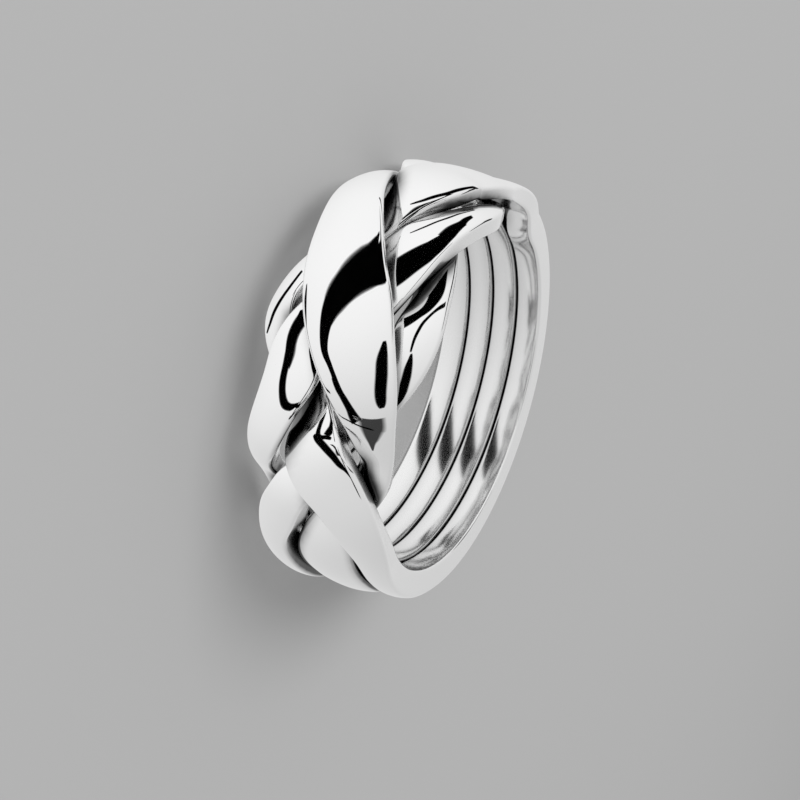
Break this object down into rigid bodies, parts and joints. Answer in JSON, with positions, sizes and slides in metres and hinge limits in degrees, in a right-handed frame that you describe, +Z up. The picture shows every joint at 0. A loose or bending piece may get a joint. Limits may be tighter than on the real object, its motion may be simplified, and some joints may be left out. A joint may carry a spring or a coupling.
{
  "type": "braided puzzle ring",
  "caption": "Finger ring of loose interlinked bands that lie side by side round the back and braid together over the front.",
  "frame": {"origin": "centre of the resting ring's box, on the surface that it lies on", "axes": "+Z up from the surface and within 4.1 degrees of the finger hole's axis; the middle of the braid faces -Y and the plain back faces +Y"},
  "size_m": [0.0218, 0.023, 0.0084],
  "materials": {
    "silver": "polished silver"
  },
  "bodies": {
    "root": {"bottom_band": "silver", "lower_band": "silver", "upper_band": "silver", "top_band": "silver"}
  },
  "joints": []
}
